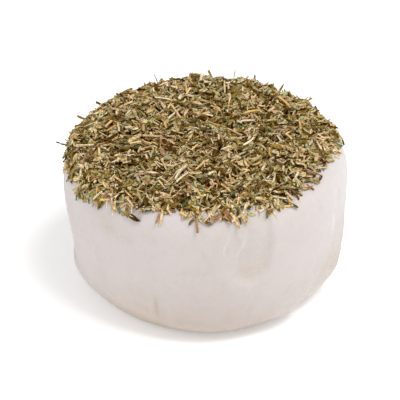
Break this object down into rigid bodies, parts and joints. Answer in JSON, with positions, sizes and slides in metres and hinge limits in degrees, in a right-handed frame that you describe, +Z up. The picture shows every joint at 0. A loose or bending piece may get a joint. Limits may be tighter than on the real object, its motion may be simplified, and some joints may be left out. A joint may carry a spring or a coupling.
{
  "type": "sheep camembert with herb coat",
  "caption": "Small round soft-ripened sheep's milk cheese with a white bloomy rind, rounded edges and a thick coat of dried herb flakes over its top.",
  "frame": {"origin": "middle of the flat base that the cheese stands on", "axes": "+Z up through the herb-covered top, -Y to the front that the picture shows, +X to the picture's right"},
  "size_m": [0.0719, 0.0736, 0.0421],
  "materials": {
    "rind": "matt white bloomy rind, velvety, faintly warm and mottled",
    "dried_herbs": "dry matt flakes in straw, khaki, olive, dark green and brown"
  },
  "bodies": {
    "root": {"cheese": "rind", "herb_coat": "dried_herbs"}
  },
  "joints": []
}
